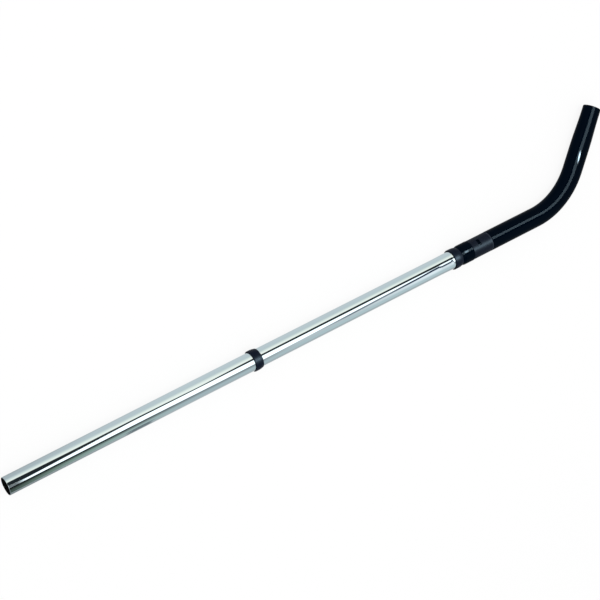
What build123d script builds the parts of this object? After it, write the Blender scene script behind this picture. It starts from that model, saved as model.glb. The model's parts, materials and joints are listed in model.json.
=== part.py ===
from build123d import *
from math import cos, radians, sin, sqrt
import os

# A two-piece chrome vacuum cleaner tube with a bent hand tube, lying flat.
# The tubes run along +X from the open tool end, whose centre is the origin.
# The hand tube bends towards +Y in the horizontal plane. Millimetres and degrees.

# Steel tubes
tube_wall = 0.9
tube_length = 536.0           # each tube, end to end
mouth_diameter = 35.2         # outside of the tool end
mouth_land = 60.0             # plain cylindrical stretch at the tool end
lower_top_diameter = 37.2     # outside of the lower tube at the rim of its socket
upper_diameter = 36.0         # outside of the upper tube
rim_round = 0.35              # rounding on the cut edges of the steel

# Push fit of the upper tube in the lower one
spigot_depth = 48.0           # length of the swaged end inside the socket
spigot_fit = 0.04             # radial gap in every push fit
neck_length = 3.0             # cone from the swaged end up to the full tube, inside the collar's lip

# Belled socket at the top of the upper tube
bell_length = 38.0
bell_rise = 1.3               # growth of the radius over the bell

# Plastic collars on the socket rims
lower_collar_wall = 2.4       # thickness of the lower collar over the steel
upper_collar_wall = 1.8       # and of the upper collar
collar_seat = 14.0            # length over the steel
lower_lip = 4.0               # thickness of the lip that covers the lower tube's rim
upper_lip = 5.3               # and of the one that covers the upper tube's rim
collar_fit = 0.05             # radial gap to the steel
lip_clearance = 0.15          # radial gap between a lip and what passes through it
collar_taper = 7.5            # tapered stretch towards the lip end
collar_drop = 1.6             # fall of the radius over that taper
collar_nose = 0.7             # rounding at the lip end
collar_heel = 1.0             # rounding at the open end

# Bent hand tube
stop_gap = 0.3                # gap between a collar and the shoulder that stops at it
grip_diameter = 41.4
grip_wall = 2.7
front_diameter = 42.2         # stretch between the upper collar and the regulator
front_length = 28.3
front_taper = 5.5             # tapered lead of that stretch, next to the collar
front_drop = 1.7              # fall of the radius over that lead
front_round = 0.6
cone_depth = 44.0             # length of the plastic spigot inside the upper tube
cone_wall = 2.2
cone_chamfer = 0.8
bore_taper = 29.6             # stretch where the bore widens from the regulator's neck to the grip
straight_length = 127.0       # from the regulator to the start of the bend
bend_radius = 163.5
bend_angle = 49.5
end_plain = 62.0              # full-width stretch after the bend
end_taper = 50.0              # stretch that tapers to the hose end
end_land = 25.0               # plain cylindrical hose end
hose_diameter = 38.0          # outside of the hose end
end_round = 0.8

# Rotating air regulator round the hand tube's neck
neck_diameter = 36.8          # outside of the recess that carries the sleeve
neck_wall = 2.4
sleeve_wall = 2.0
sleeve_length = 50.0
sleeve_play = 0.3             # gap at each end of the sleeve
sleeve_fit = 0.08             # radial running gap on the neck
sleeve_round = 1.2
snap_gap = 14.0               # slit that lets the sleeve snap over the neck
snap_angle = 230.0            # direction of the slit, turned about +X from +Y
window_across = 16.0          # air window in the sleeve, round the tube
window_along = 7.0            # and along it
window_offset = 19.0          # from the sleeve's front end to the window's middle
window_angle = 48.0           # direction of the window at rest, about +X from +Y
vent_across = 13.0            # air vent in the neck, round the tube
vent_along = 6.0              # and along it
vent_turn = 50.0              # turn of the sleeve that brings its window over the vent

# Places along the tube, worked out from the sizes above
lower_rim = tube_length
lower_collar_start = lower_rim - collar_seat
spigot_end = lower_rim - spigot_depth
neck_start = lower_rim + stop_gap
upper_rim = spigot_end + tube_length
upper_collar_start = upper_rim - collar_seat
upper_collar_end = upper_rim + upper_lip
bell_start = upper_collar_start - bell_length
cone_end = upper_rim - cone_depth
shoulder = upper_collar_end + stop_gap
recess_start = shoulder + front_length
recess_end = recess_start + sleeve_length + 2 * sleeve_play
bend_start = recess_end + straight_length
sleeve_start = recess_start + sleeve_play
window_place = sleeve_start + window_offset

# Radii shared by the pieces
mouth_radius = mouth_diameter / 2
lower_top_radius = lower_top_diameter / 2
upper_radius = upper_diameter / 2
socket_radius = upper_radius + bell_rise
bell_curve = (bell_length**2 + bell_rise**2) / (2 * bell_rise)
grip_radius = grip_diameter / 2
grip_bore = grip_radius - grip_wall
neck_radius = neck_diameter / 2
neck_bore = neck_radius - neck_wall
sleeve_bore = neck_radius + sleeve_fit
sleeve_radius = sleeve_bore + sleeve_wall
cone_bore = upper_radius - tube_wall - spigot_fit - cone_wall
hose_radius = hose_diameter / 2


def turned(outline):
    """Solid of revolution about the tube's axis, from an outline of distance along it and radius."""
    return revolve(make_face(outline), Axis.X)


def lower_radius_at(x):
    """Outside radius of the gently conical lower tube."""
    share = (x - mouth_land) / (lower_rim - mouth_land)
    return mouth_radius + (lower_top_radius - mouth_radius) * max(0.0, share)


def bell_radius_at(x, inset):
    """Radius of the belled socket's curve, or of a curve that lies inset inside it."""
    return upper_radius + bell_curve - sqrt((bell_curve + inset) ** 2 - (x - bell_start) ** 2)


def bell_arc(start, end, inset):
    """Arc of the bell, or of a curve inset from it, between two places along the tube."""
    middle = (start + end) / 2
    return ThreePointArc(*[(x, bell_radius_at(x, inset)) for x in (start, middle, end)])


def rim_edges(tube, x):
    """The round edges of a piece at one place along the tube."""
    return tube.edges().filter_by(GeomType.CIRCLE).filter_by_position(Axis.X, x - 0.01, x + 0.01)


def outer_edge(piece, x):
    """The widest round edge of a piece at one place along the tube."""
    return rim_edges(piece, x).sort_by(SortBy.RADIUS)[-1]


def radial_plane(x, angle):
    """Plane at a place along the tube whose normal points outwards at an angle about +X from +Y."""
    outwards = (0, cos(radians(angle)), sin(radians(angle)))
    return Plane(origin=(x, 0, 0), x_dir=(1, 0, 0), z_dir=outwards)


def radial_slot(x, angle, along, across, depth):
    """Cutter for a slot with round ends, longer round the tube than along it."""
    slot = SlotOverall(across, along, rotation=90)
    return extrude(radial_plane(x, angle) * slot, depth)


def lower_tube():
    """Steel tube from the tool end to the socket that takes the upper tube."""
    outside = [(0, mouth_radius), (mouth_land, mouth_radius), (lower_rim, lower_top_radius)]
    inside = [(x, radius - tube_wall) for x, radius in reversed(outside)]
    tube = turned(Polyline(*outside, *inside, close=True))
    ends = rim_edges(tube, 0) + rim_edges(tube, lower_rim)
    return fillet(ends, rim_round)


def upper_tube():
    """Steel tube with a swaged lower end and a belled socket for the hand tube."""
    spigot = [(x, lower_radius_at(x) - tube_wall - spigot_fit) for x in (spigot_end, lower_rim)]
    spigot.append((neck_start, spigot[-1][1]))
    body = [*spigot, (neck_start + neck_length, upper_radius), (bell_start, upper_radius)]
    bore = [(x, radius - tube_wall) for x, radius in reversed(body)]
    outer_bell = bell_arc(bell_start, upper_collar_start, 0)
    inner_bell = bell_arc(upper_collar_start, bell_start, tube_wall)
    socket = [
        outer_bell @ 1,
        (upper_rim, socket_radius),
        (upper_rim, (inner_bell @ 0).Y),
        inner_bell @ 0,
    ]
    outline = Polyline(bore[-1], *body) + outer_bell + Polyline(*socket) + inner_bell + Polyline(*bore)
    tube = turned(outline)
    ends = rim_edges(tube, spigot_end) + rim_edges(tube, upper_rim)
    return fillet(ends, rim_round)


def tube_collar(rim, lip_length, wall, seat_start_radius, seat_end_radius, through_radius):
    """Plastic ring pushed over a socket, tapered to a lip that covers the steel rim."""
    start, end = rim - collar_seat, rim + lip_length
    lip = through_radius + lip_clearance
    outer = max(seat_start_radius, seat_end_radius, lip) + collar_fit + wall
    outline = Polyline(
        (start, seat_start_radius + collar_fit),
        (start, outer),
        (end - collar_taper, outer),
        (end, outer - collar_drop),
        (end, lip),
        (rim, lip),
        (rim, seat_end_radius + collar_fit),
        close=True,
    )
    ring = turned(outline)
    ring = fillet(outer_edge(ring, end), collar_nose)
    return fillet(outer_edge(ring, start), collar_heel)


def lower_collar():
    """Ring at the joint of the two steel tubes."""
    widest_through = max(upper_radius, lower_top_radius - tube_wall - spigot_fit)
    seat_start_radius = lower_radius_at(lower_collar_start)
    return tube_collar(
        lower_rim, lower_lip, lower_collar_wall, seat_start_radius, lower_top_radius, widest_through
    )


def upper_collar():
    """Ring at the joint of the upper tube and the hand tube."""
    spigot_radius = bell_radius_at(upper_collar_start, tube_wall + spigot_fit)
    return tube_collar(
        upper_rim, upper_lip, upper_collar_wall, socket_radius, socket_radius, spigot_radius
    )


def hand_tube_front():
    """Straight part of the hand tube: spigot, shoulder, regulator neck and grip."""
    spigot_inset = tube_wall + spigot_fit
    spigot = bell_arc(cone_end, upper_collar_start, spigot_inset)
    front = front_diameter / 2
    outside = Polyline(
        spigot @ 1,
        (shoulder, (spigot @ 1).Y),
        (shoulder, front - front_drop),
        (shoulder + front_taper, front),
        (recess_start, front),
        (recess_start, neck_radius),
        (recess_end, neck_radius),
        (recess_end, grip_radius),
        (bend_start, grip_radius),
        (bend_start, grip_bore),
    )
    bore = Polyline(
        (bend_start, grip_bore),
        (recess_end + bore_taper, grip_bore),
        (recess_end, neck_bore),
        (recess_start, neck_bore),
        (shoulder, cone_bore),
        (cone_end, cone_bore),
        spigot @ 0,
    )
    body = turned(spigot + outside + bore)
    body = chamfer(outer_edge(body, cone_end), cone_chamfer)
    return fillet(outer_edge(body, shoulder), front_round)


def hand_tube_bend():
    """Bent part of the hand tube, a ring swept round the bend."""
    section = Plane(origin=(bend_start, 0, 0), x_dir=(0, 1, 0), z_dir=(1, 0, 0))
    ring = section * (Circle(grip_radius) - Circle(grip_bore))
    return revolve(ring, Axis((bend_start, bend_radius, 0), (0, 0, 1)), bend_angle)


def hand_tube_end():
    """Straight limb after the bend, tapering to the hose end."""
    taper_end = end_plain + end_taper
    outside = [
        (0, grip_radius),
        (end_plain, grip_radius),
        (taper_end, hose_radius),
        (taper_end + end_land, hose_radius),
    ]
    bore = [(x, radius - grip_wall) for x, radius in reversed(outside)]
    limb = turned(Polyline(*outside, *bore, close=True))
    limb = fillet(rim_edges(limb, taper_end + end_land), end_round)
    turn = radians(bend_angle)
    place = (bend_start + bend_radius * sin(turn), bend_radius * (1 - cos(turn)), 0)
    return Location(place, (0, 0, bend_angle)) * limb


def bent_handle():
    """Moulded hand tube, with an air vent through its neck."""
    handle = hand_tube_front() + hand_tube_bend() + hand_tube_end()
    vent = radial_slot(window_place, window_angle + vent_turn, vent_along, vent_across, grip_diameter)
    return handle - vent


def air_regulator():
    """Snap-on sleeve that turns on the neck to cover or open the vent."""
    end = sleeve_start + sleeve_length
    outside = [(sleeve_start, sleeve_radius), (end, sleeve_radius)]
    inside = [(end, sleeve_bore), (sleeve_start, sleeve_bore)]
    sleeve = turned(Polyline(*outside, *inside, close=True))
    for place in (sleeve_start, end):
        sleeve = fillet(outer_edge(sleeve, place), sleeve_round)
    sleeve -= radial_slot(window_place, window_angle, window_along, window_across, 2 * sleeve_radius)
    middle = sleeve_start + sleeve_length / 2
    slit = radial_plane(middle, snap_angle) * Rectangle(2 * sleeve_length, snap_gap)
    return sleeve - extrude(slit, 2 * sleeve_radius)


pieces = {
    "lower_tube": lower_tube(),
    "lower_collar": lower_collar(),
    "upper_tube": upper_tube(),
    "upper_collar": upper_collar(),
    "bent_handle": bent_handle(),
    "air_regulator": air_regulator(),
}

os.makedirs("parts", exist_ok=True)
for name, piece in pieces.items():
    export_step(piece, f"parts/{name}.step")
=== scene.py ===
"""Dresses the packed vacuum cleaner tube: chrome steel, satin collars and a gloss black hand tube."""

import json
from math import asin, cos, pi, radians, sin

import bmesh
import bpy
from bpy.props import FloatProperty, FloatVectorProperty, IntProperty, PointerProperty
from mathutils import Matrix, Quaternion, Vector


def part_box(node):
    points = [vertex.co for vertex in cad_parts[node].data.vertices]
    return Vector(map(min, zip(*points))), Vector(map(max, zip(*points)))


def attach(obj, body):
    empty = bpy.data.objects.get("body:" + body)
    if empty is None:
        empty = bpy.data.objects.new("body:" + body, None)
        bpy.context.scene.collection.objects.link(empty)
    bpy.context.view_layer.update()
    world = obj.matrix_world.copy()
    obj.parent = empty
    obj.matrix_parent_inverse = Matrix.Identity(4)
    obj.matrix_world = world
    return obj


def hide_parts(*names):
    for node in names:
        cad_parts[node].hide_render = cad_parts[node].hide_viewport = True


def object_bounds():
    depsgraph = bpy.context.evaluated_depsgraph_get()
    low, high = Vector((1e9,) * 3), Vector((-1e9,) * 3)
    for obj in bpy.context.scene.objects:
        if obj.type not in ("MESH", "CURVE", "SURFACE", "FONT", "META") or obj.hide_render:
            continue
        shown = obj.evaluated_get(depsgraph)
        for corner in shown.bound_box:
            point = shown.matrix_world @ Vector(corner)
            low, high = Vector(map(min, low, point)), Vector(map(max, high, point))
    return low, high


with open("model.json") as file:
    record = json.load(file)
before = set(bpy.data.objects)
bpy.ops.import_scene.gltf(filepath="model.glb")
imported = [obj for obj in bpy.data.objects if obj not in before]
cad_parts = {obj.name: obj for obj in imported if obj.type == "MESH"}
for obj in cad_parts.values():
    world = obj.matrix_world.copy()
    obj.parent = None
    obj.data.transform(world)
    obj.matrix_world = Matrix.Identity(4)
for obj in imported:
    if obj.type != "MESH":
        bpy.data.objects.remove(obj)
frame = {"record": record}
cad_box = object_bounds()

bl_info = {
    "name": "Vacuum Cleaner Tube",
    "version": (1, 0, 0),
    "blender": (4, 5, 0),
    "location": "View3D > Sidebar > Vacuum Tube",
    "description": "Builds the visual pieces of a two-piece chrome suction tube with a bent hand tube",
    "category": "Object",
}

mounts = {mount["name"]: mount for mount in frame["record"]["mounts"]}
tool_end = mounts["tool_end"]["dims"]
hose_end = mounts["hose_end"]["dims"]

# Corners of a skin that are closer than this, in metres, become one
merge_distance = 1e-6
# The white ground, and a painted dark post that the lower tube mirrors: a dark patch in the sky and a foot
# painted on the floor, seen only by gloss as a painted reflection
white = (1.0, 1.0, 1.0)
painted_dark_post = (0.26, 0.29, 0.31)


def reach(node):
    """Start, end and outside radius of a round piece that lies along the tubes."""
    low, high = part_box(node)
    return low.x, high.x, high.z


def length(name, description, default):
    """A size in metres that a user may change."""
    return FloatProperty(
        name=name, description=description, default=default, min=0.0, precision=5, unit="LENGTH"
    )


def sides(name, description, default):
    """Two sides of a lamp in metres that a user may change."""
    return FloatVectorProperty(
        name=name, description=description, default=default, size=2, min=0.0, unit="LENGTH"
    )


def position(name, description, default):
    """A place in metres that a user may change."""
    return FloatVectorProperty(
        name=name, description=description, default=default, subtype="TRANSLATION", unit="LENGTH"
    )


def millimetres(name, description, default):
    """A measure of the camera that a user may change."""
    return FloatProperty(name=name, description=description, default=default, min=1.0, unit="CAMERA")


def power(name, description, watts):
    """The power of a lamp that a user may change."""
    return FloatProperty(name=name, description=description, default=watts, min=0.0, unit="POWER")


def angle(name, description, degrees):
    """An angle that a user may change."""
    return FloatProperty(name=name, description=description, default=radians(degrees), subtype="ANGLE")


def colour(name, description, default):
    """A colour that a user may change."""
    return FloatVectorProperty(
        name=name, description=description, default=default, size=3, min=0.0, max=1.0, subtype="COLOR"
    )


class SteelSizes(bpy.types.PropertyGroup):
    """Sizes of the two chrome steel tubes."""

    wall: length("Wall", "Thickness of the steel", 0.0009)
    rim_round: length("Rim rounding", "Rounding on the cut edges of the steel", 0.00035)
    mouth_radius: length("Mouth radius", "Outside radius of the tool end", tool_end["r_mm"] / 1000)
    mouth_land: length("Mouth land", "Plain stretch at the tool end", tool_end["length_mm"] / 1000)
    upper_radius: length("Upper radius", "Outside radius of the upper tube", 0.018)
    push_gap: length("Push gap", "Radial gap in a push fit", 0.00004)
    stop_gap: length("Stop gap", "Gap between a rim or collar and what stops at it", 0.0003)
    neck_length: length("Neck", "Cone from the swaged end up to the full tube", 0.003)
    bell_length: length("Bell", "Curved stretch below the upper socket", 0.038)
    flare_length: length("Flare", "Conical stretch of the outside below the upper collar", 0.029)
    flare_rise: length("Flare rise", "Growth of the outside radius over the flare", 0.0004)
    flare_land: length("Flare land", "Plain stretch between the flare and the collar", 0.008)
    segments: IntProperty(name="Segments", description="Faces round a tube", default=160, min=24)


class CollarSizes(bpy.types.PropertyGroup):
    """Sizes of the plastic rings on the socket rims."""

    seat_gap: length("Seat gap", "Radial gap to the steel", 0.00005)
    lip_gap: length("Lip gap", "Radial gap between the lip and what passes through it", 0.00015)
    taper: length("Taper", "Tapered stretch towards the lip end", 0.0075)
    drop: length("Drop", "Fall of the radius over the taper", 0.0016)
    nose: length("Nose rounding", "Rounding at the lip end", 0.0007)
    heel: length("Heel rounding", "Rounding at the open end", 0.001)
    edge: length("Edge rounding", "Rounding of the inner edges", 0.0003)
    segments: IntProperty(name="Segments", description="Faces round a collar", default=128, min=24)


class HandSizes(bpy.types.PropertyGroup):
    """Sizes of the bent hand tube."""

    grip_radius: length("Grip radius", "Outside radius of the grip and bend", 0.0207)
    grip_wall: length("Grip wall", "Thickness of the grip", 0.0027)
    front_taper: length("Front taper", "Tapered lead next to the upper collar", 0.0055)
    front_drop: length("Front drop", "Fall of the radius over that lead", 0.0017)
    front_round: length("Front rounding", "Rounding of the shoulder at the upper collar", 0.0006)
    neck_radius: length("Neck radius", "Outside radius of the recess under the regulator", 0.0184)
    neck_bore: length("Neck bore", "Bore under the regulator", 0.016)
    bore_taper: length("Bore taper", "Stretch where the bore widens to the grip's", 0.0296)
    recess_round: length("Recess rounding", "Rounding of the edges beside the regulator", 0.0004)
    neck_play: length("Neck play", "Gap at each end of the regulator", 0.0003)
    spigot_bore: length("Spigot bore", "Bore of the end inside the upper tube", 0.01486)
    spigot_chamfer: length("Spigot chamfer", "Lead-in at the end inside the upper tube", 0.0008)
    straight: length("Straight", "From the regulator to the start of the bend", 0.127)
    bend_radius: length("Bend radius", "Radius of the bend at the tube's axis", 0.1635)
    bend_angle: angle("Bend angle", "Turn of the bend", 49.5)
    end_plain: length("End plain", "Full-width stretch after the bend", 0.062)
    end_taper: length("End taper", "Stretch that tapers to the hose end", 0.05)
    hose_radius: length("Hose radius", "Outside radius of the hose end", hose_end["r_mm"] / 1000)
    hose_land: length("Hose land", "Plain stretch at the hose end", hose_end["length_mm"] / 1000)
    end_round: length("End rounding", "Rounding of the hose end's rim", 0.0008)
    vent_across: length("Vent across", "Air vent in the neck, round the tube", 0.013)
    vent_along: length("Vent along", "Air vent in the neck, along the tube", 0.006)
    vent_turn: angle("Vent turn", "Turn of the regulator that opens the vent", 50.0)
    segments: IntProperty(name="Segments", description="Faces round the hand tube", default=128, min=24)


class RegulatorSizes(bpy.types.PropertyGroup):
    """Sizes of the snap-on air regulator."""

    bore: length("Bore", "Inside radius of the sleeve", 0.01848)
    snap_gap: length("Snap gap", "Slit that lets the sleeve snap over the neck", 0.014)
    snap_angle: angle("Snap angle", "Direction of the slit about the tube", 230.0)
    window_across: length("Window across", "Air window, round the tube", 0.016)
    window_along: length("Window along", "Air window, along the tube", 0.007)
    window_offset: length("Window offset", "From the front end to the window's middle", 0.019)
    window_angle: angle("Window angle", "Direction of the window about the tube", 48.0)
    end_round: length("End rounding", "Rounding of the outer edges at both ends", 0.0012)
    edge_round: length("Edge rounding", "Rounding round the window and slit", 0.0004)
    # The stretch at the sleeve's rear end that carries a painted highlight, a paler colour for the light on
    # its rounded rim
    highlight_length: length("Rubbed length", "Stretch at the rear end that is rubbed pale", 0.004)
    highlight_fade: length("Rubbed fade", "Soft start of that stretch", 0.002)


class FinishColours(bpy.types.PropertyGroup):
    """Colours of the finishes."""

    chrome: colour("Chrome", "Bright plate on the tubes", (0.5, 0.59, 0.62))
    # The bore is unplated steel, its colour painted near black as painted shade inside the tubes
    bore: colour("Bore", "Unplated inside of the tubes", (0.004, 0.0044, 0.005))
    collar: colour("Collar", "Satin black rings", (0.0012, 0.0042, 0.0135))
    handle: colour("Hand tube", "Gloss black moulding", (0.0001, 0.0022, 0.0062))
    regulator: colour("Regulator", "Satin charcoal sleeve", (0.0042, 0.0072, 0.0152))
    # Paler colour painted on the sleeve's rear end as a painted highlight on its rim
    rubbed: colour("Rubbed end", "End of the sleeve that fingers have rubbed pale", (0.019, 0.026, 0.04))
    floor: colour("Floor", "Plain pale floor", (0.93, 0.93, 0.93))


class StageSettings(bpy.types.PropertyGroup):
    """Camera and light."""

    camera_place: position("Camera place", "Where the camera stands", (-0.67219, 1.03738, 2.69422))
    camera_aim: position("Camera aim", "Middle of the picture", (0.66121, 0.06684, -0.00061))
    camera_roll: angle("Camera roll", "Turn of the picture about its middle", 104.04)
    lens: millimetres("Lens", "Focal length in millimetres", 99.06)
    sensor: millimetres("Sensor", "Width of the sensor in millimetres", 36.0)
    floor_size: length("Floor size", "Side of the floor", 12.0)
    sky_level: FloatProperty(name="Sky level", description="Even light from all round", default=0.85, min=0.0)
    key_power: power("Key power", "Soft overhead lamp", 16.0)
    key_size: length("Key size", "Width of the overhead lamp", 2.0)
    key_side: length("Key side", "How far the overhead lamp hangs to the side of the tubes", 0.3)
    key_height: length("Key height", "Height of the overhead lamp", 2.2)
    hand_power: power("Hand tube strip", "Strip lamp over the hand tube", 680.0)
    hand_place: position("Hand tube strip place", "Middle of that lamp", (1.65, 0.87, 2.0))
    hand_sides: sides("Hand tube strip sides", "Length and width of that lamp", (2.9, 1.0))
    hand_turn: angle("Hand tube strip turn", "Turn of that lamp about the vertical", 8.0)
    satin_power: power("Satin strip", "Strip lamp over the collars and the regulator", 390.0)
    satin_place: position("Satin strip place", "Middle of that lamp", (1.8, 0.24, 2.0))
    satin_sides: sides("Satin strip sides", "Length and width of that lamp", (1.4, 0.85))
    strip_tint: colour("Strip colour", "Cool colour of the strips", (0.6, 0.84, 1.0))


def wire(bm, places):
    """Joined edges through places given as distance along the tube and radius."""
    corners = [bm.verts.new((along, radius, 0.0)) for along, radius in places]
    for start, end in zip(corners, corners[1:]):
        bm.edges.new((start, end))
    return corners


def arc(bm, start, centre, turn, steps):
    """Arc from a vertex round a centre in the outline's plane, and its last vertex."""
    made = bmesh.ops.spin(
        bm, geom=[start], cent=(*centre, 0.0), axis=(0.0, 0.0, 1.0), angle=turn, steps=steps
    )
    return made["geom_last"][0]


def round_corners(bm, corners, radius, segments):
    """Rounds corners of an outline."""
    bmesh.ops.bevel(
        bm, geom=corners, offset=radius, offset_type="OFFSET", affect="VERTICES",
        segments=segments, profile=0.5, material=-1, clamp_overlap=True
    )


def turn_outline(bm, segments):
    """Turns an outline round the tube's axis into a skin."""
    bmesh.ops.spin(
        bm, geom=bm.verts[:] + bm.edges[:], cent=(0.0, 0.0, 0.0), axis=(1.0, 0.0, 0.0),
        angle=2 * pi, steps=segments, use_merge=True
    )
    tidy_skin(bm)


def tidy_skin(bm):
    """Closes the seams of a skin and points its faces outwards."""
    bmesh.ops.remove_doubles(bm, verts=bm.verts[:], dist=merge_distance)
    bmesh.ops.recalc_face_normals(bm, faces=bm.faces[:])


def as_object(bm, name):
    """Smooth mesh object made from a bmesh."""
    mesh = bpy.data.meshes.new(name)
    bm.to_mesh(mesh)
    bm.free()
    mesh.shade_smooth()
    made = bpy.data.objects.new(name, mesh)
    bpy.context.scene.collection.objects.link(made)
    return made


def dress(piece, node, body, slot, *materials):
    """Gives a piece its finish and its place in the frame."""
    for material in materials:
        piece.data.materials.append(material)
    shading = piece.modifiers.new("Even shading", "WEIGHTED_NORMAL")
    shading.keep_sharp = True
    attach(piece, body)
    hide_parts(node)


def mark_bore(bm):
    """Gives the second finish to the faces that look towards the tube's axis."""
    for face in bm.faces:
        middle = face.calc_center_median()
        outward = Vector((0.0, middle.y, middle.z)).normalized()
        face.material_index = int(face.normal.dot(outward) < -0.5)


def lower_radius_at(sizes, along):
    """Outside radius of the gently conical lower tube."""
    _, rim, top_radius = reach("lower_tube")
    share = max(0.0, (along - sizes.mouth_land) / (rim - sizes.mouth_land))
    return sizes.mouth_radius + (top_radius - sizes.mouth_radius) * share


def bell(sizes):
    """Start, curve centre, curve radius and turn of the bell below the upper socket."""
    socket_start, _, _ = reach("upper_collar")
    _, _, socket_radius = reach("upper_tube")
    rise = socket_radius - sizes.upper_radius
    curve = (sizes.bell_length**2 + rise**2) / (2 * rise)
    start = socket_start - sizes.bell_length
    return start, (start, sizes.upper_radius + curve), curve, asin(sizes.bell_length / curve)


def lower_tube_skin(sizes):
    """Steel tube from the tool end to the socket."""
    start, rim, top_radius = reach("lower_tube")
    outside = [(start, sizes.mouth_radius), (sizes.mouth_land, sizes.mouth_radius), (rim, top_radius)]
    inside = [(along, radius - sizes.wall) for along, radius in reversed(outside)]
    bm = bmesh.new()
    corners = wire(bm, outside + inside)
    bm.edges.new((corners[-1], corners[0]))
    round_corners(bm, [corners[0], corners[2], corners[3], corners[5]], sizes.rim_round, segments=4)
    turn_outline(bm, sizes.segments)
    mark_bore(bm)
    return as_object(bm, "steel_lower_tube")


def upper_tube_skin(sizes):
    """Steel tube with a swaged lower end and a belled socket."""
    start, rim, _ = reach("upper_tube")
    _, lower_rim, _ = reach("lower_tube")
    bell_start, centre, _, turn = bell(sizes)
    neck = lower_rim + sizes.stop_gap
    spigot = [lower_radius_at(sizes, along) - sizes.wall - sizes.push_gap for along in (start, lower_rim)]
    shaft = [(start, spigot[0]), (neck, spigot[1]), (neck + sizes.neck_length, sizes.upper_radius)]
    bm = bmesh.new()
    lining = [*shaft, (bell_start, sizes.upper_radius)]
    inner = wire(bm, [(along, radius - sizes.wall) for along, radius in lining])
    socket = arc(bm, inner[-1], centre, turn, steps=16)
    inner_top = bm.verts.new((rim, socket.co.y, 0.0))
    bm.edges.new((socket, inner_top))

    seat_start, seat = bell_start + sizes.bell_length, socket.co.y + sizes.wall
    flare_end = seat_start - sizes.flare_land
    crest = sizes.upper_radius + sizes.flare_rise
    outer = wire(bm, [
        *shaft,
        (flare_end - sizes.flare_length, sizes.upper_radius),
        (flare_end, crest),
        (seat_start, crest),
        (seat_start + seat - crest, seat),
        (rim, seat),
    ])
    bm.edges.new((outer[0], inner[0]))
    bm.edges.new((outer[-1], inner_top))
    round_corners(bm, [outer[0], inner[0], outer[-1], inner_top], sizes.rim_round, segments=4)
    round_corners(bm, [outer[1], outer[2]], sizes.neck_length / 4, segments=6)
    round_corners(bm, [outer[3], outer[4]], sizes.flare_length / 12, segments=8)
    turn_outline(bm, sizes.segments)
    mark_bore(bm)
    return as_object(bm, "steel_upper_tube")


def collar_skin(sizes, name, node, rim, seat_start, seat_end, through):
    """Plastic ring that tapers to a lip over a steel rim."""
    start, end, outer = reach(node)
    lip = through + sizes.lip_gap
    places = [
        (start, seat_start + sizes.seat_gap),
        (start, outer),
        (end - sizes.taper, outer),
        (end, outer - sizes.drop),
        (end, lip),
        (rim, lip),
        (rim, seat_end + sizes.seat_gap),
    ]
    bm = bmesh.new()
    corners = wire(bm, places)
    bm.edges.new((corners[-1], corners[0]))
    round_corners(bm, [corners[2]], sizes.taper / 3, segments=8)
    round_corners(bm, [corners[3]], sizes.nose, segments=6)
    round_corners(bm, [corners[1]], sizes.heel, segments=6)
    round_corners(bm, [corners[0], corners[4]], sizes.edge, segments=3)
    turn_outline(bm, sizes.segments)
    return as_object(bm, name)


def hand_tube_skin(sizes, steel):
    """Moulded hand tube: spigot, shoulder, regulator neck, grip, bend and hose end."""
    spigot_end, _, front_radius = reach("bent_handle")
    socket_start, collar_end, _ = reach("upper_collar")
    sleeve_start, sleeve_end, _ = reach("air_regulator")
    bell_start, centre, curve, _ = bell(steel)
    shoulder = collar_end + steel.stop_gap
    neck_start, neck_end = sleeve_start - sizes.neck_play, sleeve_end + sizes.neck_play
    bend_start = neck_end + sizes.straight
    grip_bore = sizes.grip_radius - sizes.grip_wall
    inset_curve = curve + steel.wall + steel.push_gap
    tilts = [asin((along - bell_start) / inset_curve) for along in (spigot_end, socket_start)]
    spigot_radii = [centre[1] - inset_curve * cos(tilt) for tilt in tilts]

    bm = bmesh.new()
    bore = wire(bm, [
        (bend_start, grip_bore),
        (neck_end + sizes.bore_taper, grip_bore),
        (neck_end, sizes.neck_bore),
        (neck_start, sizes.neck_bore),
        (shoulder, sizes.spigot_bore),
        (spigot_end, sizes.spigot_bore),
        (spigot_end, spigot_radii[0]),
    ])
    spigot_top = arc(bm, bore[-1], centre, tilts[1] - tilts[0], steps=12)
    outside = wire(bm, [
        (shoulder, spigot_radii[1]),
        (shoulder, front_radius - sizes.front_drop),
        (shoulder + sizes.front_taper, front_radius),
        (neck_start, front_radius),
        (neck_start, sizes.neck_radius),
        (neck_end, sizes.neck_radius),
        (neck_end, sizes.grip_radius),
        (bend_start, sizes.grip_radius),
    ])
    bm.edges.new((spigot_top, outside[0]))
    round_corners(bm, [bore[-1]], sizes.spigot_chamfer, segments=1)
    round_corners(bm, [outside[1]], sizes.front_round, segments=6)
    round_corners(bm, [outside[2]], sizes.front_taper / 3, segments=8)
    round_corners(bm, [outside[3], outside[6]], sizes.recess_round, segments=4)
    turn_outline(bm, sizes.segments)

    rings = [edge for edge in bm.edges if edge.is_boundary]
    ring_corners = list({corner for edge in rings for corner in edge.verts})
    bmesh.ops.spin(
        bm, geom=ring_corners + rings, cent=(bend_start, sizes.bend_radius, 0.0), axis=(0.0, 0.0, 1.0),
        angle=sizes.bend_angle, steps=64
    )
    add_hose_limb(bm, sizes, bend_start)
    tidy_skin(bm)
    return as_object(bm, "hand_tube")


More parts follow.
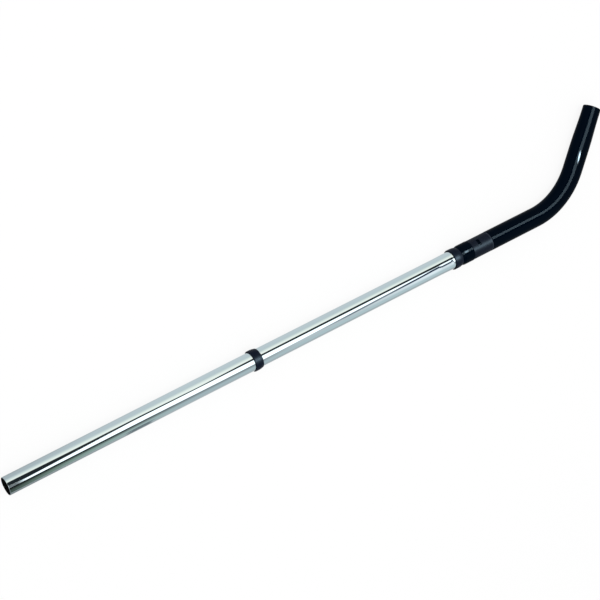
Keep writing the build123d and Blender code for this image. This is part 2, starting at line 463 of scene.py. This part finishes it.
def add_hose_limb(bm, sizes, bend_start):
    """Joins the straight limb that tapers to the hose end on to the bend."""
    taper_end = sizes.end_plain + sizes.end_taper
    outside = [
        (0.0, sizes.grip_radius),
        (sizes.end_plain, sizes.grip_radius),
        (taper_end, sizes.hose_radius),
        (taper_end + sizes.hose_land, sizes.hose_radius),
    ]
    inside = [(along, radius - sizes.grip_wall) for along, radius in reversed(outside)]
    limb = bmesh.new()
    corners = wire(limb, outside + inside)
    round_corners(limb, [corners[3], corners[4]], sizes.end_round, segments=5)
    round_corners(limb, [corners[1], corners[2]], sizes.hose_land / 3, segments=8)
    turn_outline(limb, sizes.segments)
    swing = Matrix.Rotation(sizes.bend_angle, 4, "Z")
    centre = Vector((bend_start, sizes.bend_radius, 0.0))
    arm = swing @ Vector((0.0, -sizes.bend_radius, 0.0))
    bmesh.ops.transform(limb, matrix=Matrix.Translation(centre + arm) @ swing, verts=limb.verts[:])
    mesh = bpy.data.meshes.new("hose_limb")
    limb.to_mesh(mesh)
    limb.free()
    bm.from_mesh(mesh)
    bpy.data.meshes.remove(mesh)


def slot_loop(bm, along, across, long_cuts, arc_sides):
    """Closed loop of edges with round ends, longer in Y than in X."""
    loop = bmesh.ops.create_circle(bm, cap_ends=False, segments=arc_sides, radius=along / 2)["verts"]
    bmesh.ops.rotate(bm, verts=loop, cent=(0.0, 0.0, 0.0), matrix=Matrix.Rotation(pi / arc_sides, 3, "Z"))
    for side in (-1.0, 1.0):
        half = [corner for corner in loop if corner.co.y * side > 0.0]
        bmesh.ops.translate(bm, verts=half, vec=(0.0, side * (across - along) / 2, 0.0))
    edges = list({edge for corner in loop for edge in corner.link_edges})
    flanks = [edge for edge in edges if edge.verts[0].co.y * edge.verts[1].co.y < 0.0]
    bmesh.ops.subdivide_edges(bm, edges=flanks, cuts=long_cuts)
    return list({edge for corner in bm.verts for edge in corner.link_edges})


def vent_cutter(sizes, regulator):
    """Rounded plug that cuts the air vent through the neck."""
    sleeve_start, _, _ = reach("air_regulator")
    bm = bmesh.new()
    edges = slot_loop(bm, sizes.vent_along, sizes.vent_across, long_cuts=7, arc_sides=32)
    bmesh.ops.contextual_create(bm, geom=edges)
    raised = bmesh.ops.extrude_face_region(bm, geom=bm.faces[:])["geom"]
    tops = [item for item in raised if isinstance(item, bmesh.types.BMVert)]
    bmesh.ops.translate(bm, verts=tops, vec=(0.0, 0.0, 2 * sizes.grip_radius))
    tidy_skin(bm)
    turn = regulator.window_angle + sizes.vent_turn - pi / 2
    place = Matrix.Translation((sleeve_start + regulator.window_offset, 0.0, 0.0))
    bmesh.ops.transform(bm, matrix=place @ Matrix.Rotation(turn, 4, "X"), verts=bm.verts[:])
    return as_object(bm, "vent_cutter")


def cut_away(piece, cutter):
    """Takes a cutter out of a piece and removes the cutter."""
    modifier = piece.modifiers.new("Cut", "BOOLEAN")
    modifier.operation = "DIFFERENCE"
    modifier.solver = "EXACT"
    modifier.object = cutter
    cut = bpy.data.meshes.new_from_object(piece.evaluated_get(bpy.context.evaluated_depsgraph_get()))
    piece.modifiers.clear()
    whole, piece.data = piece.data, cut
    bpy.data.meshes.remove(whole)
    bpy.data.objects.remove(cutter)


def sleeve_skin(sizes):
    """Split sleeve with an air window, laid out flat and wrapped round the neck."""
    start, end, radius = reach("air_regulator")
    rows, columns, block_rows, block_columns = 20, 107, 5, 16
    slit_margin, crease = 0.01, 0.7
    gap = 2 * asin(sizes.snap_gap / 2 / radius)
    wrap = 2 * pi - gap
    row, column = (end - start) / rows, wrap / columns
    opening = (sizes.window_angle - sizes.snap_angle - gap / 2) % (2 * pi)

    bm = bmesh.new()
    edges = slot_loop(bm, sizes.window_along, sizes.window_across, long_cuts=9, arc_sides=24)
    window = bm.verts[:]
    bmesh.ops.scale(bm, verts=window, vec=(1.0, 1.0 / radius, 1.0))
    bmesh.ops.translate(bm, verts=window, vec=(sizes.window_offset, opening, 0.0))
    grid = bmesh.ops.create_grid(bm, x_segments=rows, y_segments=columns, size=0.5)["verts"]
    bmesh.ops.translate(bm, verts=grid, vec=(0.5, 0.5, 0.0))
    bmesh.ops.scale(bm, verts=grid, vec=(end - start, wrap, 1.0))
    first_row = round(sizes.window_offset / row - block_rows / 2)
    first_column = round(opening / column - block_columns / 2)
    block = []
    for face in bm.faces:
        middle = face.calc_center_median()
        in_rows = 0 <= int(middle.x / row) - first_row < block_rows
        in_columns = 0 <= int(middle.y / column) - first_column < block_columns
        if in_rows and in_columns:
            block.append(face)
    bmesh.ops.delete(bm, geom=block, context="FACES")

    def off_the_border(corner):
        return 0 < corner.co.x < end - start and slit_margin < corner.co.y < wrap - slit_margin

    frame_edges = [edge for edge in bm.edges if edge.is_boundary and all(map(off_the_border, edge.verts))]
    bmesh.ops.bridge_loops(bm, edges=edges + frame_edges)

    first_angle = sizes.snap_angle + gap / 2
    for corner in bm.verts:
        along, turn = start + corner.co.x, first_angle + corner.co.y
        corner.co = (along, radius * cos(turn), radius * sin(turn))
    outer = set(bm.verts)
    inner = bmesh.ops.extrude_face_region(bm, geom=bm.faces[:], use_keep_orig=True)["geom"]
    inner = [item for item in inner if isinstance(item, bmesh.types.BMVert)]
    share = sizes.bore / radius
    bmesh.ops.scale(bm, verts=inner, vec=(1.0, share, share))
    tidy_skin(bm)

    def at_an_end(corner):
        return min(abs(corner.co.x - start), abs(corner.co.x - end)) < merge_distance

    sharp = [edge for edge in bm.edges if edge.calc_face_angle(0.0) > crease and set(edge.verts) <= outer]
    ends = [edge for edge in sharp if all(map(at_an_end, edge.verts))]
    rest = [edge for edge in sharp if edge not in ends]
    for group, offset, segments in ((rest, sizes.edge_round, 3), (ends, sizes.end_round, 5)):
        bmesh.ops.bevel(
            bm, geom=[edge for edge in group if edge.is_valid], offset=offset, offset_type="OFFSET",
            affect="EDGES", segments=segments, profile=0.5, material=-1, clamp_overlap=True
        )
    bmesh.ops.recalc_face_normals(bm, faces=bm.faces[:])
    return as_object(bm, "regulator_sleeve")


def add(tree, kind, **settings):
    """A node with its settings."""
    node = tree.nodes.new(kind)
    for name, value in settings.items():
        setattr(node, name, value)
    return node


def feed(tree, socket, value):
    """Links a socket to another one, or sets it."""
    if isinstance(value, bpy.types.NodeSocket):
        tree.links.new(value, socket)
    else:
        socket.default_value = value


def calculate(tree, operation, first, second=0.0):
    """Result of a Math node."""
    node = add(tree, "ShaderNodeMath", operation=operation)
    feed(tree, node.inputs[0], first)
    feed(tree, node.inputs[1], second)
    return node.outputs[0]


def ramp_to(tree, value, low, high, start, end, smooth=False):
    """A value carried over from one range to another."""
    node = add(tree, "ShaderNodeMapRange", interpolation_type="SMOOTHSTEP" if smooth else "LINEAR")
    names = ("Value", "From Min", "From Max", "To Min", "To Max")
    for name, given in zip(names, (value, low, high, start, end)):
        feed(tree, node.inputs[name], given)
    return node.outputs["Result"]


def split(tree, coordinates):
    """The X, Y and Z of a place or direction."""
    node = add(tree, "ShaderNodeSeparateXYZ")
    feed(tree, node.inputs[0], coordinates)
    return node.outputs


def blend(tree, mask, below, above):
    """One colour laid over another by a mask."""
    node = add(tree, "ShaderNodeMix", data_type="RGBA")
    feed(tree, node.inputs[0], mask)
    for socket, given in ((node.inputs[6], below), (node.inputs[7], above)):
        feed(tree, socket, (*given, 1.0) if isinstance(given, (tuple, list, Vector)) else given)
    return node.outputs[2]


def noise(tree, coordinates, stretch, scale, detail=2.0, roughness=0.5):
    """Noise stretched along the tube."""
    mapping = add(tree, "ShaderNodeMapping")
    feed(tree, mapping.inputs["Vector"], coordinates)
    mapping.inputs["Scale"].default_value = stretch
    node = add(tree, "ShaderNodeTexNoise")
    feed(tree, node.inputs["Vector"], mapping.outputs["Vector"])
    feed(tree, node.inputs["Scale"], scale)
    node.inputs["Detail"].default_value = detail
    node.inputs["Roughness"].default_value = roughness
    return node.outputs[0]


def new_group(name, sizes, results):
    """Shader node group with named inputs and outputs."""
    group = bpy.data.node_groups.new(name, "ShaderNodeTree")
    group.interface.new_socket("Vector", in_out="INPUT", socket_type="NodeSocketVector")
    for label, default in sizes:
        socket = group.interface.new_socket(label, in_out="INPUT", socket_type="NodeSocketFloat")
        socket.default_value = default
    for label in results:
        group.interface.new_socket(label, in_out="OUTPUT", socket_type="NodeSocketFloat")
    return group, add(group, "NodeGroupInput").outputs, add(group, "NodeGroupOutput").inputs


def handling_marks():
    """Group: faint smudges and wiped streaks left by hands and cloths."""
    if "Handling Marks" in bpy.data.node_groups:
        return bpy.data.node_groups["Handling Marks"]
    scales = [("Patch Scale", 14.0), ("Streak Scale", 60.0)]
    group, given, result = new_group("Handling Marks", scales, ["Marks"])
    patches = noise(group, given["Vector"], (0.6, 1.0, 1.0), given["Patch Scale"], 4.0, 0.6)
    streaks = noise(group, given["Vector"], (0.15, 1.0, 1.0), given["Streak Scale"], 3.0, 0.6)
    smudged = ramp_to(group, patches, 0.48, 0.7, 0.0, 1.0, smooth=True)
    wiped = ramp_to(group, streaks, 0.4, 0.75, 0.25, 1.0)
    feed(group, result["Marks"], calculate(group, "MULTIPLY", smudged, wiped))
    return group


def moulded_skin():
    """Group: fine pitted skin of a moulding, with slow variation over it."""
    if "Moulded Skin" in bpy.data.node_groups:
        return bpy.data.node_groups["Moulded Skin"]
    group, given, result = new_group("Moulded Skin", [("Grain Scale", 1800.0)], ["Height", "Variation"])
    grain = noise(group, given["Vector"], (1.0, 1.0, 1.0), given["Grain Scale"], 2.0, 0.6)
    cells = add(group, "ShaderNodeTexVoronoi")
    feed(group, cells.inputs["Vector"], given["Vector"])
    feed(group, cells.inputs["Scale"], given["Grain Scale"])
    feed(group, result["Height"], calculate(group, "ADD", grain, cells.outputs["Distance"]))
    feed(group, result["Variation"], noise(group, given["Vector"], (0.7, 1.0, 1.0), 35.0, 4.0, 0.6))
    return group


def place_group(tree, group, coordinates, **values):
    """A group in a material, with its own values."""
    node = add(tree, "ShaderNodeGroup", node_tree=group)
    feed(tree, node.inputs["Vector"], coordinates)
    for name, value in values.items():
        node.inputs[name.replace("_", " ")].default_value = value
    return node.outputs


def new_material(name):
    """Material with a Principled BSDF, its node tree, shader sockets and object coordinates."""
    material = bpy.data.materials.new(name)
    material.use_nodes = True
    tree = material.node_tree
    shader = tree.nodes["Principled BSDF"]
    coordinates = add(tree, "ShaderNodeTexCoord").outputs["Object"]
    return material, tree, shader.inputs, coordinates


def raised(tree, height, distance, strength, under=None):
    """Normal of a surface raised by a height, over an earlier normal."""
    node = add(tree, "ShaderNodeBump")
    node.inputs["Strength"].default_value = strength
    node.inputs["Distance"].default_value = distance
    feed(tree, node.inputs["Height"], height)
    if under is not None:
        feed(tree, node.inputs["Normal"], under)
    return node.outputs["Normal"]


def chrome_plate(finishes):
    """Bright chrome with slight draw lines, waviness and handling marks."""
    material, tree, shader, coordinates = new_material("chrome_plate")
    marks = place_group(tree, handling_marks(), coordinates, Patch_Scale=14.0, Streak_Scale=60.0)["Marks"]
    plate = Vector(finishes.chrome)
    cloud = noise(tree, coordinates, stretch=(0.5, 1.0, 1.0), scale=9.0, detail=3.0)
    feed(tree, shader["Base Color"], blend(tree, cloud, plate * 0.96, plate * 1.04))
    feed(tree, shader["Roughness"], ramp_to(tree, marks, 0.0, 1.0, 0.025, 0.09))
    shader["Metallic"].default_value = 1.0
    waves = noise(tree, coordinates, stretch=(0.12, 1.0, 1.0), scale=45.0, detail=1.0)
    lines = noise(tree, coordinates, stretch=(0.004, 1.0, 1.0), scale=900.0, detail=2.0)
    wavy = raised(tree, waves, distance=0.00006, strength=1.0)
    feed(tree, shader["Normal"], raised(tree, lines, distance=0.0000012, strength=1.0, under=wavy))
    return material


def side_line(tree, coordinates, core, edge):
    """Mask of a line down both sides of a tube, level with its axis."""
    height = calculate(tree, "ABSOLUTE", split(tree, coordinates)["Z"])
    return ramp_to(tree, height, core, edge, 1.0, 0.0, smooth=True)


def painted_shade_bore(finishes):
    """Unplated inside of the steel, with its welded seam, painted near black as painted shade inside the
    tubes.
    """
    material, tree, shader, coordinates = new_material("painted_shade_bore")
    painted_shade_colour = Vector(finishes.bore)
    skin = place_group(tree, moulded_skin(), coordinates, Grain_Scale=700.0)
    seam = side_line(tree, coordinates, core=0.0006, edge=0.0012)
    stained = blend(tree, skin["Variation"], painted_shade_colour * 0.6, painted_shade_colour * 1.3)
    feed(tree, shader["Base Color"], blend(tree, seam, stained, painted_shade_colour * 2.0))
    feed(tree, shader["Roughness"], ramp_to(tree, skin["Variation"], 0.3, 0.7, 0.5, 0.7))
    feed(tree, shader["Normal"], raised(tree, seam, distance=0.0003, strength=1.0))
    shader["Specular IOR Level"].default_value = 0.05
    return material


def satin_plastic(name, tint, grain, roughness, specular, rubbed=None, pale=None):
    """Satin moulding with a fine pitted skin, which may carry a painted highlight: a paler colour over a
    stretch at one end.
    """
    material, tree, shader, coordinates = new_material(name)
    skin = place_group(tree, moulded_skin(), coordinates, Grain_Scale=grain)
    marks = place_group(tree, handling_marks(), coordinates, Patch_Scale=40.0, Streak_Scale=160.0)["Marks"]
    clouded = blend(tree, skin["Variation"], tint * 0.9, tint * 1.1)
    tinted = blend(tree, marks, clouded, tint * 1.25)
    # Painted highlight: a paler colour over the stretch at one end
    if rubbed:
        painted_highlight_mask = ramp_to(tree, split(tree, coordinates)["X"], *rubbed, 0.0, 1.0, smooth=True)
        tinted = blend(tree, painted_highlight_mask, tinted, pale)
    feed(tree, shader["Base Color"], tinted)
    smooth, rough = roughness - 0.03, roughness + 0.03
    feed(tree, shader["Roughness"], ramp_to(tree, skin["Variation"], 0.25, 0.75, smooth, rough))
    feed(tree, shader["Normal"], raised(tree, skin["Height"], distance=0.000008, strength=0.5))
    shader["Specular IOR Level"].default_value = specular
    return material


def gloss_plastic(finishes):
    """Gloss black moulding with slight sink marks, wiped streaks and a parting line."""
    material, tree, shader, coordinates = new_material("handle_plastic")
    tint = Vector(finishes.handle)
    marks = place_group(tree, handling_marks(), coordinates, Patch_Scale=30.0, Streak_Scale=120.0)["Marks"]
    skin = place_group(tree, moulded_skin(), coordinates, Grain_Scale=1200.0)
    feed(tree, shader["Base Color"], blend(tree, skin["Variation"], tint * 0.8, tint * 1.2))
    feed(tree, shader["Roughness"], ramp_to(tree, marks, 0.0, 1.0, 0.06, 0.14))
    parting = side_line(tree, coordinates, core=0.0, edge=0.0004)
    sinks = raised(tree, skin["Variation"], distance=0.00008, strength=1.0)
    feed(tree, shader["Normal"], raised(tree, parting, distance=0.00005, strength=1.0, under=sinks))
    front = rubbed_spot(
        tree, coordinates, middle=(1.0405, 0.0081, 0.0195), turn=0.0,
        halves=(0.0075, 0.0026, 0.004), depth=0.1
    )
    limb = rubbed_spot(
        tree, coordinates, middle=(1.3698, 0.0807, 0.0193), turn=56.0,
        halves=(0.0185, 0.0024, 0.005), depth=0.6
    )
    feed(tree, shader["Coat Weight"], calculate(tree, "MAXIMUM", front, limb))
    shader["Coat Roughness"].default_value = 0.1
    shader["Specular IOR Level"].default_value = 0.01
    return material


def rubbed_spot(tree, coordinates, middle, turn, halves, depth):
    """Mask of a small spot that hands have rubbed bright."""
    mapping = add(tree, "ShaderNodeMapping", vector_type="TEXTURE")
    feed(tree, mapping.inputs["Vector"], coordinates)
    mapping.inputs["Location"].default_value = middle
    mapping.inputs["Rotation"].default_value = (0.0, 0.0, radians(turn))
    mapping.inputs["Scale"].default_value = halves
    away = add(tree, "ShaderNodeVectorMath", operation="LENGTH")
    feed(tree, away.inputs[0], mapping.outputs["Vector"])
    return ramp_to(tree, away.outputs["Value"], 0.3, 1.0, depth, 0.0, smooth=True)


def floor_finish(tint):
    """Pale matt floor with a soft shadow; gloss sees instead a painted reflection of it, with painted shade
    near and behind the tubes and the painted foot of a dark post.
    """
    material = bpy.data.materials.new("pale_floor")
    material.use_nodes = True
    tree = material.node_tree
    tree.nodes.clear()
    matt = add(tree, "ShaderNodeBsdfDiffuse")
    matt.inputs["Color"].default_value = (*tint, 1.0)
    glow = add(tree, "ShaderNodeEmission")
    path = add(tree, "ShaderNodeLightPath").outputs
    axes = split(tree, add(tree, "ShaderNodeTexCoord").outputs["Object"])
    # Painted shade: gloss sees the floor at given levels, darker close to the tubes and on the far side, not
    # as the lamps light it
    painted_shade_behind = follow(tree, axes["X"], (0.05, 0.4), (0.4, 0.73), (1.0, 0.66))
    before = follow(tree, axes["X"], (0.0, 0.72), (0.2, 0.92), (0.4, 0.97))
    painted_reflection = scaled(tree, ramp_to(tree, axes["Y"], 0.0, 0.04, painted_shade_behind, before), (0.97, 1.0, 1.015))
    # Painted reflection: a dark stripe on the floor, seen only by gloss, stands for the foot of the dark post
    foot = ramp_to(tree, axes["Y"], -0.09, -0.05, 1.0, 0.0)
    slant = calculate(tree, "ADD", axes["X"], calculate(tree, "MULTIPLY", axes["Y"], 0.33))
    foot = calculate(tree, "MULTIPLY", foot, between(tree, slant, 0.2335, 0.287, 0.006))
    painted_reflection = blend(tree, foot, painted_reflection, painted_dark_post)
    feed(tree, glow.inputs["Color"], blend(tree, path["Is Camera Ray"], painted_reflection, white))
    camera_share = 0.88
    seen = calculate(tree, "MULTIPLY", path["Is Camera Ray"], camera_share)
    mix = add(tree, "ShaderNodeMixShader")
    feed(tree, mix.inputs[0], calculate(tree, "MAXIMUM", seen, path["Is Glossy Ray"]))
    feed(tree, mix.inputs[1], matt.outputs[0])
    feed(tree, mix.inputs[2], glow.outputs[0])
    feed(tree, add(tree, "ShaderNodeOutputMaterial").inputs["Surface"], mix.outputs[0])
    return material


def between(tree, value, start, end, soft):
    """Mask of the values between two edges, soft at both."""
    after = ramp_to(tree, calculate(tree, "SUBTRACT", value, start), -soft, soft, 0.0, 1.0, smooth=True)
    before = ramp_to(tree, calculate(tree, "SUBTRACT", end, value), -soft, soft, 0.0, 1.0, smooth=True)
    return calculate(tree, "MULTIPLY", after, before)


def follow(tree, value, *places):
    """A level that runs straight from place to place as a value grows."""
    (start, level), *rest = places
    total = level
    for place, goal in rest:
        total = calculate(tree, "ADD", total, ramp_to(tree, value, start, place, 0.0, goal - level))
        start, level = place, goal
    return total


def scaled(tree, level, tint):
    """A tint at a level."""
    node = add(tree, "ShaderNodeVectorMath", operation="SCALE")
    feed(tree, node.inputs[0], tint)
    feed(tree, node.inputs["Scale"], level)
    return node.outputs[0]


def studio_walls(tree, along, about):
    """Near and far wall of the studio, with a dark post before the far one."""
    near = blend(tree, ramp_to(tree, about, 0.0, 34.0, 0.0, 1.0), (0.9, 0.95, 0.93), (1.6, 1.52, 1.37))
    foot_level = follow(tree, along, (0.228, 0.12), (0.265, 0.44), (0.304, 0.65), (0.44, 0.85))
    top_level = follow(
        tree, along, (0.29, 0.01), (0.348, 0.35), (0.382, 0.35), (0.41, 0.9), (0.44, 0.95), (0.49, 1.45)
    )
    further = ramp_to(tree, along, 0.25, 0.34, 0.0, 1.0)
    foot_tint = blend(tree, further, (0.93, 1.2, 1.0), (0.96, 1.07, 1.09))
    top = scaled(tree, top_level, (1.0, 0.99, 1.0))
    foot = scaled(tree, foot_level, foot_tint)
    far = blend(tree, ramp_to(tree, about, 118.0, 150.0, 0.0, 1.0), top, foot)
    walls = blend(tree, between(tree, about, 90.0, 200.0, 2.0), near, far)
    # The dark post is a dark patch painted into the sky, seen only by gloss, for a painted reflection in the
    # lower tube
    width, height = between(tree, along, 0.2998, 0.3157, 0.003), between(tree, about, 161.0, 200.0, 5.0)
    return blend(tree, calculate(tree, "MULTIPLY", width, height), walls, painted_dark_post)


def studio_strip(tree, along, about, sky):
    """Overhead strip light laid over a sky, with a dark gap on one side and a dark seam on the other."""
    soft = 3.0
    gap_start = follow(
        tree, along, (0.231, 39.0), (0.265, 46.0), (0.31, 46.0), (0.348, 55.0), (0.375, 47.0), (0.48, 43.0)
    )
    strip_start = follow(
        tree, along, (0.231, 82.0), (0.236, 88.5), (0.246, 85.5), (0.265, 78.5), (0.304, 63.5),
        (0.348, 66.5), (0.38, 68.0), (0.442, 69.0), (0.466, 67.0), (0.489, 68.5), (0.493, 70.0)
    )
    strip_end = follow(
        tree, along, (0.31, 108.0), (0.36, 114.0), (0.39, 114.0), (0.43, 102.0), (0.488, 79.5),
        (0.49, 76.0), (0.493, 73.0)
    )
    seam_end = follow(tree, along, (0.442, 117.0), (0.466, 109.0), (0.486, 102.0), (0.494, 96.0))
    seam_depth = follow(tree, along, (0.42, 0.0), (0.442, 0.7), (0.466, 0.68), (0.477, 1.0))
    seam = between(tree, about, calculate(tree, "ADD", strip_end, 1.0), seam_end, soft)
    light = scaled(tree, ramp_to(tree, along, 0.2325, 0.2365, 0.27, 2.4), (0.99, 1.0, 1.02))
    sky = blend(tree, between(tree, about, strip_start, strip_end, soft), sky, light)
    sky = blend(tree, between(tree, about, gap_start, strip_start, soft), sky, (0.025, 0.03, 0.035))
    return blend(tree, calculate(tree, "MULTIPLY", seam, seam_depth), sky, (0.03, 0.05, 0.11))


def studio_sky(world, level):
    """White studio: side walls, an overhead strip light and the dark gaps beside it, as gloss sees them.

    Directions are taken as the angle about the tubes, from +Y over the top, and as the share along them.
    """
    world.use_nodes = True
    world.cycles.sampling_method = "NONE"
    tree = world.node_tree
    tree.nodes.clear()
    axes = split(tree, add(tree, "ShaderNodeTexCoord").outputs["Generated"])
    along = ramp_to(tree, axes["X"], 0.215, 0.225, 0.4, axes["X"])
    about = calculate(tree, "ARCTAN2", axes["Z"], axes["Y"])
    about = calculate(tree, "MULTIPLY", about, 180.0 / pi)
    sky = studio_strip(tree, along, about, studio_walls(tree, along, about))

    seen = add(tree, "ShaderNodeLightPath").outputs
    even = blend(tree, seen["Is Camera Ray"], (level, level, level), white)
    backdrop = add(tree, "ShaderNodeBackground")
    feed(tree, backdrop.inputs["Color"], blend(tree, seen["Is Glossy Ray"], even, sky))
    feed(tree, add(tree, "ShaderNodeOutputWorld").inputs["Surface"], backdrop.outputs[0])


def strip_lamp(scene, name, pieces, watts, tint, middle, lengths, turn=0.0):
    """Long soft lamp over the tubes that lights only the gloss of some pieces."""
    lamp = bpy.data.lights.new(name, "AREA")
    lamp.shape, lamp.size, lamp.size_y = "RECTANGLE", *lengths
    lamp.energy, lamp.color = watts, tint
    strip = bpy.data.objects.new(name, lamp)
    strip.location, strip.rotation_euler = middle, (0.0, 0.0, turn)
    strip.visible_diffuse = False
    scene.collection.objects.link(strip)
    lit = bpy.data.collections.new(name)
    for piece in pieces:
        lit.objects.link(bpy.data.objects[piece])
    strip.light_linking.receiver_collection = lit


class VACUUMTUBE_OT_steel_tubes(bpy.types.Operator):
    """Build the two chrome steel tubes"""

    bl_idname = "vacuum_tube.steel_tubes"
    bl_label = "Steel Tubes"

    def execute(self, context):
        sizes, finishes = context.scene.tube_steel, context.scene.tube_finishes
        plate, bore = chrome_plate(finishes), painted_shade_bore(finishes)
        dress(lower_tube_skin(sizes), "lower_tube", "lower", "chrome", plate, bore)
        dress(upper_tube_skin(sizes), "upper_tube", "upper", "chrome", plate, bore)
        return {"FINISHED"}


class VACUUMTUBE_OT_collars(bpy.types.Operator):
    """Build the plastic rings on the two socket rims"""

    bl_idname = "vacuum_tube.collars"
    bl_label = "Collars"

    def execute(self, context):
        sizes, steel = context.scene.tube_collars, context.scene.tube_steel
        tint = Vector(context.scene.tube_finishes.collar)
        satin = satin_plastic("collar_plastic", tint, grain=1500.0, roughness=0.4, specular=0.05)
        _, lower_rim, lower_radius = reach("lower_tube")
        _, upper_rim, upper_radius = reach("upper_tube")
        lower_start, _, _ = reach("lower_collar")
        lower = collar_skin(
            sizes, "joint_collar", "lower_collar", lower_rim,
            lower_radius_at(steel, lower_start), lower_radius, steel.upper_radius
        )
        upper = collar_skin(
            sizes, "socket_collar", "upper_collar", upper_rim,
            upper_radius, upper_radius, upper_radius - steel.wall - steel.push_gap
        )
        dress(lower, "lower_collar", "lower", "collar_plastic", satin)
        dress(upper, "upper_collar", "upper", "collar_plastic", satin)
        return {"FINISHED"}


class VACUUMTUBE_OT_hand_tube(bpy.types.Operator):
    """Build the bent hand tube"""

    bl_idname = "vacuum_tube.hand_tube"
    bl_label = "Hand Tube"

    def execute(self, context):
        scene = context.scene
        piece = hand_tube_skin(scene.tube_hand, scene.tube_steel)
        cut_away(piece, vent_cutter(scene.tube_hand, scene.tube_regulator))
        dress(piece, "bent_handle", "handle", "handle_plastic", gloss_plastic(scene.tube_finishes))
        return {"FINISHED"}


class VACUUMTUBE_OT_regulator(bpy.types.Operator):
    """Build the snap-on air regulator"""

    bl_idname = "vacuum_tube.regulator"
    bl_label = "Air Regulator"

    def execute(self, context):
        _, end, _ = reach("air_regulator")
        sizes, finishes = context.scene.tube_regulator, context.scene.tube_finishes
        # The sleeve's rear end gets a painted highlight, a paler colour over its last few millimetres
        highlight_start = end - sizes.highlight_length
        satin = satin_plastic(
            "regulator_plastic", Vector(finishes.regulator), grain=1300.0, roughness=0.4, specular=0.036,
            rubbed=(highlight_start, highlight_start + sizes.highlight_fade), pale=Vector(finishes.rubbed)
        )
        dress(sleeve_skin(sizes), "air_regulator", "regulator", "regulator_plastic", satin)
        return {"FINISHED"}


class VACUUMTUBE_OT_stage(bpy.types.Operator):
    """Lay the floor and set the light and camera"""

    bl_idname = "vacuum_tube.stage"
    bl_label = "Stage"

    def execute(self, context):
        scene, settings = context.scene, context.scene.tube_stage
        low, high = cad_box
        bm = bmesh.new()
        bmesh.ops.create_grid(bm, x_segments=1, y_segments=1, size=settings.floor_size / 2)
        bmesh.ops.translate(bm, verts=bm.verts[:], vec=((low.x + high.x) / 2, (low.y + high.y) / 2, low.z))
        floor = as_object(bm, "floor")
        floor.data.materials.append(floor_finish(scene.tube_finishes.floor))

        scene.world = bpy.data.worlds.new("studio")
        studio_sky(scene.world, settings.sky_level)
        lamp = bpy.data.lights.new("overhead_lamp", "AREA")
        lamp.shape, lamp.size, lamp.energy = "DISK", settings.key_size, settings.key_power
        overhead = bpy.data.objects.new("overhead_lamp", lamp)
        overhead.location = ((low.x + high.x) / 2, settings.key_side, settings.key_height)
        overhead.visible_glossy = False
        scene.collection.objects.link(overhead)
        strip_lamp(
            scene, "hand_tube_strip", ["hand_tube"], settings.hand_power, settings.strip_tint,
            settings.hand_place, settings.hand_sides, settings.hand_turn
        )
        strip_lamp(
            scene, "satin_strip", ["joint_collar", "socket_collar", "regulator_sleeve"],
            settings.satin_power, settings.strip_tint, settings.satin_place, settings.satin_sides
        )

        stand, aim = Vector(settings.camera_place), Vector(settings.camera_aim)
        lens = bpy.data.cameras.new("camera")
        lens.lens, lens.sensor_width = settings.lens, settings.sensor
        camera = bpy.data.objects.new("camera", lens)
        camera.rotation_mode = "QUATERNION"
        camera.location = stand
        level = (aim - stand).to_track_quat("-Z", "Y")
        camera.rotation_quaternion = level @ Quaternion((0.0, 0.0, 1.0), settings.camera_roll)
        scene.collection.objects.link(camera)
        scene.camera = camera
        scene.view_settings.view_transform = "Standard"
        return {"FINISHED"}


class VACUUMTUBE_PT_pieces(bpy.types.Panel):
    """Lists the pieces of the vacuum cleaner tube"""

    bl_idname = "VACUUMTUBE_PT_pieces"
    bl_label = "Vacuum Tube"
    bl_space_type = "VIEW_3D"
    bl_region_type = "UI"
    bl_category = "Vacuum Tube"

    def draw(self, context):
        for operator in operators:
            self.layout.operator(operator.bl_idname)
        for name, group in groups.items():
            box = self.layout.box()
            box.label(text=group.__doc__)
            for label in group.__annotations__:
                box.prop(getattr(context.scene, name), label)


groups = {
    "tube_steel": SteelSizes,
    "tube_collars": CollarSizes,
    "tube_hand": HandSizes,
    "tube_regulator": RegulatorSizes,
    "tube_finishes": FinishColours,
    "tube_stage": StageSettings,
}
operators = (
    VACUUMTUBE_OT_steel_tubes,
    VACUUMTUBE_OT_collars,
    VACUUMTUBE_OT_hand_tube,
    VACUUMTUBE_OT_regulator,
    VACUUMTUBE_OT_stage,
)


def register():
    """Registers the classes and gives the scene its settings."""
    for kind in (*groups.values(), *operators, VACUUMTUBE_PT_pieces):
        bpy.utils.register_class(kind)
    for name, group in groups.items():
        setattr(bpy.types.Scene, name, PointerProperty(type=group))


def unregister():
    """Takes the settings and the classes away again."""
    for name in groups:
        delattr(bpy.types.Scene, name)
    for kind in reversed((*groups.values(), *operators, VACUUMTUBE_PT_pieces)):
        bpy.utils.unregister_class(kind)


def main():
    """Builds every piece and the stage."""
    register()
    bpy.ops.vacuum_tube.steel_tubes()
    bpy.ops.vacuum_tube.collars()
    bpy.ops.vacuum_tube.hand_tube()
    bpy.ops.vacuum_tube.regulator()
    bpy.ops.vacuum_tube.stage()


if __name__ == "__main__":
    main()
